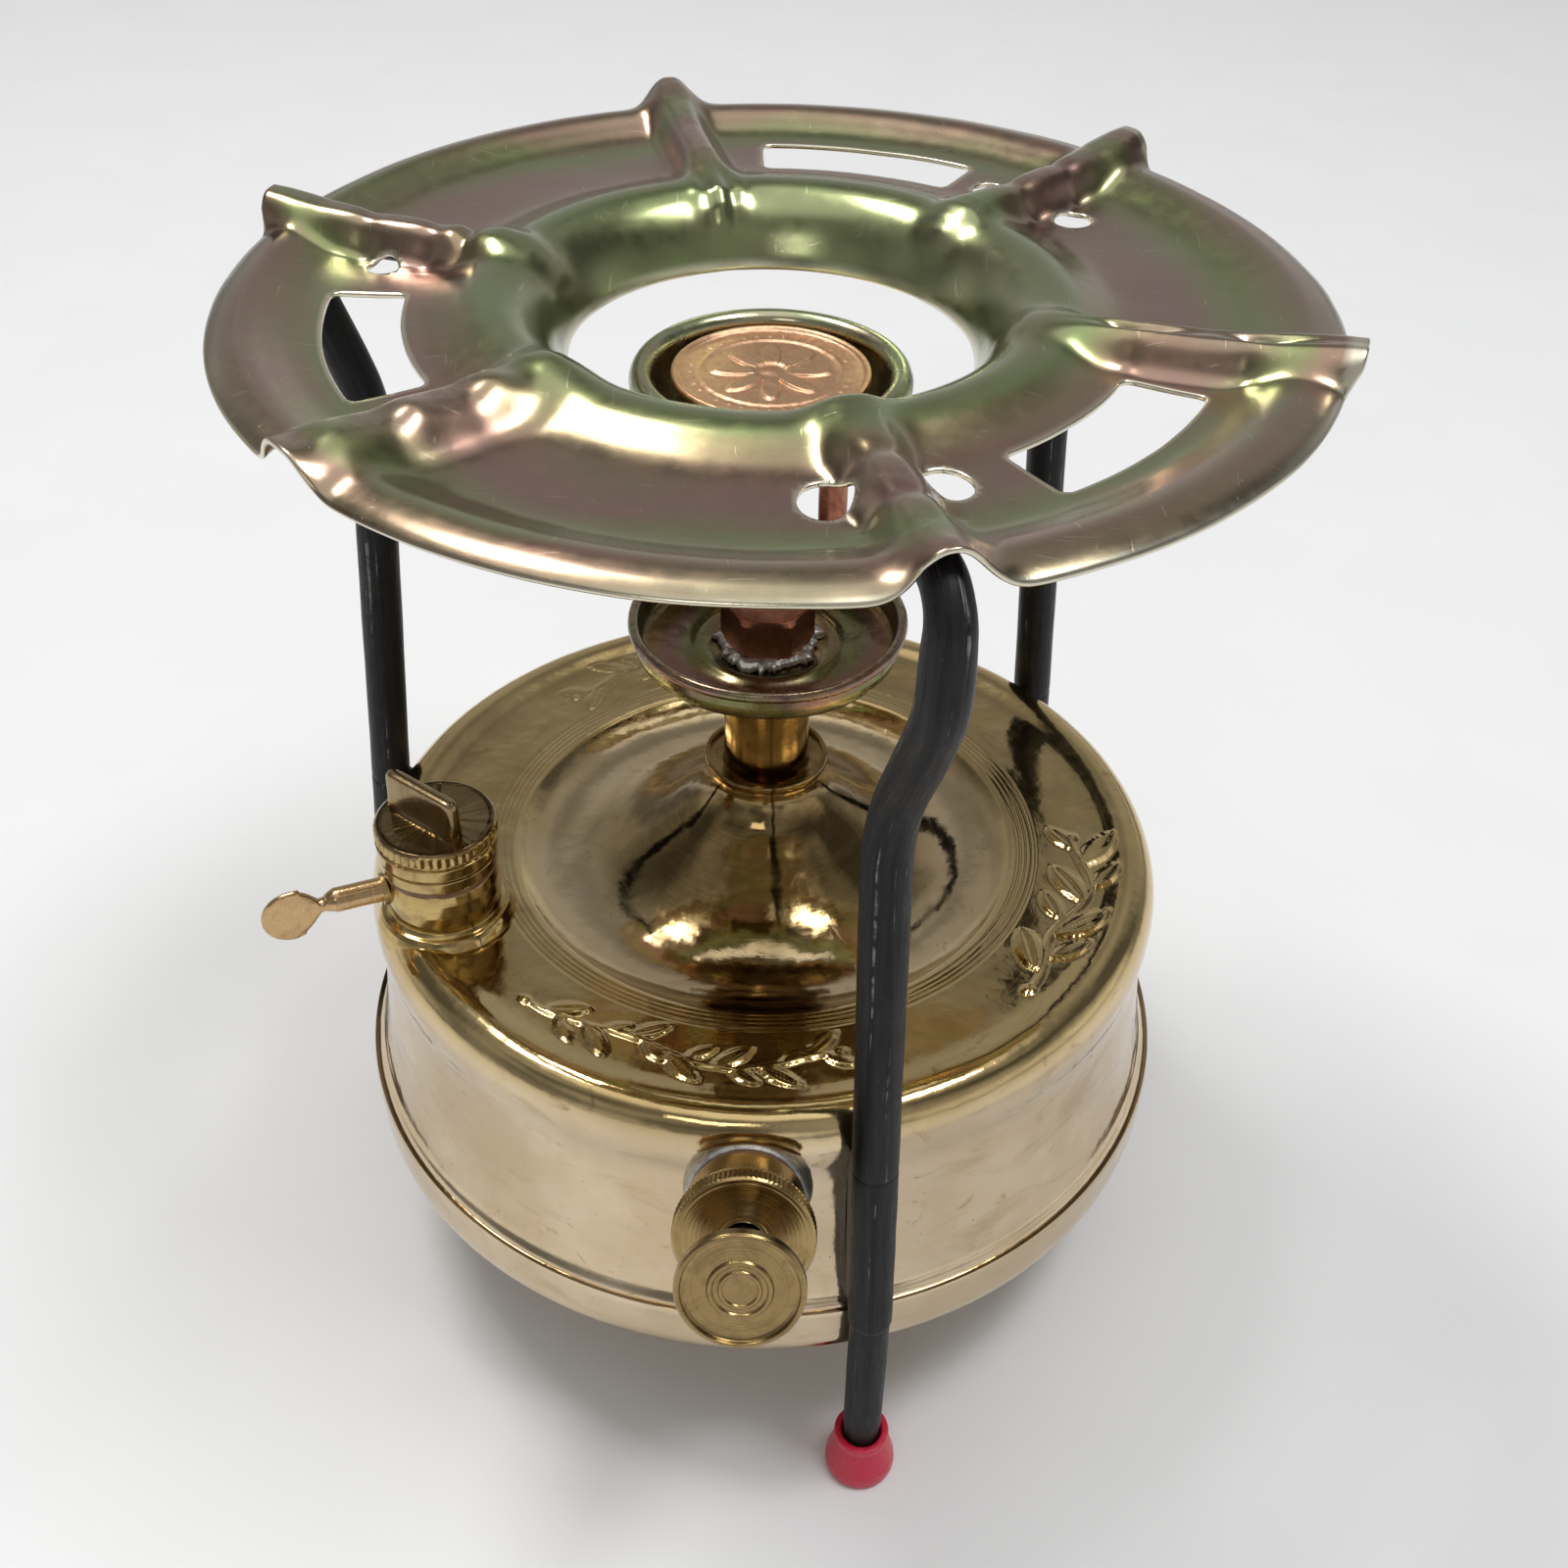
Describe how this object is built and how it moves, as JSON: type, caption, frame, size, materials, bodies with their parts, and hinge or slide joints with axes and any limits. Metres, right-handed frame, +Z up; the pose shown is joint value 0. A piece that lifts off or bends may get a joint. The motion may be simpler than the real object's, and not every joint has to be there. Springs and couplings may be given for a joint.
{
  "type": "brass kerosene pressure stove",
  "caption": "Round brass tank stove on bent steel legs, with hand pump, filler cap, air release screw, spirit cup, roarer burner and a pressed ring that carries a pan.",
  "frame": {"origin": "on the axis of the tank and burner, in the plane that the foot caps stand on", "axes": "+Z up along the axis of the tank; -Y towards the pump knob; +X to the right seen from the pump side"},
  "size_m": [0.1883, 0.208, 0.2164],
  "materials": {
    "brass_polished": "mirror polished, lightly stained",
    "brass_aged": "cast and turned, tarnished",
    "brass_turned": "lathe turned satin",
    "copper_dark": "heat darkened",
    "copper_bronze": "pressed, satin",
    "steel_passivated": "yellow and green iridescent passivated satin",
    "steel_black": "black mill scale, semi gloss",
    "steel_bright": "drawn wire",
    "solder": "dull solder and lead",
    "leather": "oiled",
    "rubber_red": "glossy soft moulding"
  },
  "bodies": {
    "stove": {"tank_shell": "brass_polished", "tank_bottom": "brass_polished", "centre_socket": "brass_aged", "dip_tube": "brass_aged", "filler_neck": "brass_aged", "air_boss": "brass_aged", "pump_barrel": "brass_aged", "pump_flange": "solder", "valve_body": "brass_turned", "valve_washer": "solder", "valve_spring": "steel_bright", "riser_tube": "brass_aged", "spirit_cup": "steel_passivated", "burner_washer": "solder", "burner_base": "copper_dark", "vapour_tubes": "copper_dark", "jet_block": "copper_dark", "jet_nipple": "brass_turned", "burner_head": "copper_dark", "burner_bell": "steel_passivated", "leg_front": "steel_black", "leg_right": "steel_black", "leg_left": "steel_black", "leg_clips": "steel_black", "foot_cap_front": "rubber_red", "foot_cap_right": "rubber_red", "foot_cap_left": "rubber_red"},
    "pot_ring": {"pot_ring": "steel_passivated"},
    "spreader": {"spreader_plate": "copper_bronze"},
    "filler_gasket": {"filler_washer": "leather"},
    "filler_cap": {"filler_cap": "brass_aged", "cap_grip": "brass_aged"},
    "air_screw": {"air_screw": "brass_turned"},
    "plunger": {"pump_rod": "steel_bright", "pump_knob": "brass_turned", "leather_plate": "brass_turned", "pump_leather": "leather", "leather_nut": "brass_turned"},
    "pump_cap_ring": {"pump_cap_washer": "leather"},
    "pump_cap": {"pump_cap": "brass_turned"},
    "valve_plug": {"valve_plug": "leather"}
  },
  "joints": [
    {"name": "pot_ring_lift", "type": "slide", "parent": "stove", "child": "pot_ring", "axis": [0, 0, 1], "range_m": [0, 0.03]},
    {"name": "spreader_lift", "type": "slide", "parent": "stove", "child": "spreader", "axis": [0, 0, 1], "range_m": [0, 0.02]},
    {"name": "filler_cap_turn", "type": "hinge", "parent": "filler_gasket", "child": "filler_cap", "pos_m": [-0.06202, -0.02455, 0.106], "axis": [0, 0, 1], "range_deg": [0, 1080]},
    {"name": "filler_cap_rise", "type": "slide", "parent": "stove", "child": "filler_gasket", "axis": [0, 0, 1], "range_m": [0, 0.0042]},
    {"name": "air_screw_turn", "type": "hinge", "parent": "stove", "child": "air_screw", "pos_m": [-0.06202, -0.02455, 0.1016], "axis": [-0.9298, -0.3681, 0], "range_deg": [0, 540]},
    {"name": "pump_stroke", "type": "slide", "parent": "stove", "child": "plunger", "axis": [-0.0262, -0.9393, 0.342], "range_m": [0, 0.05]},
    {"name": "pump_cap_turn", "type": "hinge", "parent": "pump_cap_ring", "child": "pump_cap", "pos_m": [-0.00248, -0.08886, 0.08092], "axis": [-0.0262, -0.9393, 0.342], "range_deg": [0, 1080]},
    {"name": "pump_cap_rise", "type": "slide", "parent": "stove", "child": "pump_cap_ring", "axis": [-0.0262, -0.9393, 0.342], "range_m": [0, 0.0042]},
    {"name": "valve_plug_lift", "type": "slide", "parent": "stove", "child": "valve_plug", "axis": [0.0262, 0.9393, -0.342], "range_m": [0, 0.0012], "stiffness_N_per_m": 60, "springref_m": -0.001, "deforming": ["valve_spring"]}
  ],
  "couplings": [
    {"joint": "filler_cap_turn", "follows": "filler_cap_rise", "rad_per_m": 4488},
    {"joint": "pump_cap_rise", "follows": "pump_cap_turn", "m_per_rad": 0.00022282}
  ]
}
